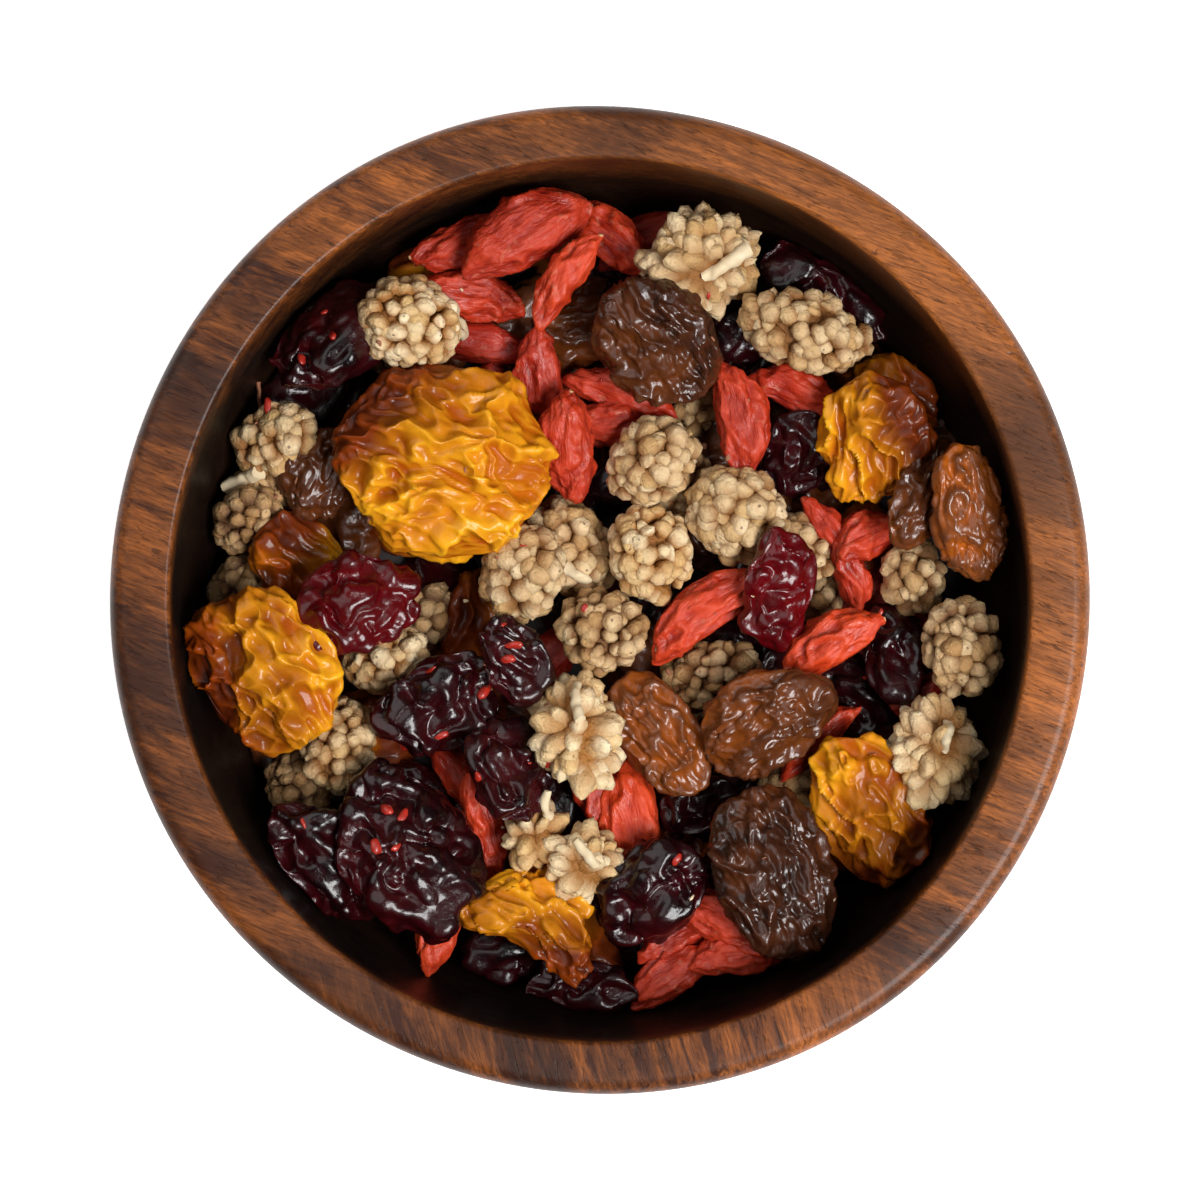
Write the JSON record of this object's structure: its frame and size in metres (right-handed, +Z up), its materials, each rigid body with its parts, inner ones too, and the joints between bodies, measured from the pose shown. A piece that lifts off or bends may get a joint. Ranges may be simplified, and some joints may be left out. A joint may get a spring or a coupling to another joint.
{
  "type": "bowl of dried fruit",
  "caption": "Round turned wooden bowl with a thick flat rim, filled almost to the rim with an uneven heap of mixed dried fruit.",
  "frame": {"origin": "centre of the bowl's flat foot, on the surface that it stands on", "axes": "+Z up, out of the bowl's mouth; +X and +Y across the rim, as right and up in a view from above"},
  "size_m": [0.1044, 0.1054, 0.048],
  "materials": {
    "acacia": "oiled, satin",
    "dried_fruit": "wrinkled, half matte"
  },
  "bodies": {
    "root": {"bowl": "acacia", "dried_fruit": "dried_fruit"}
  },
  "joints": []
}
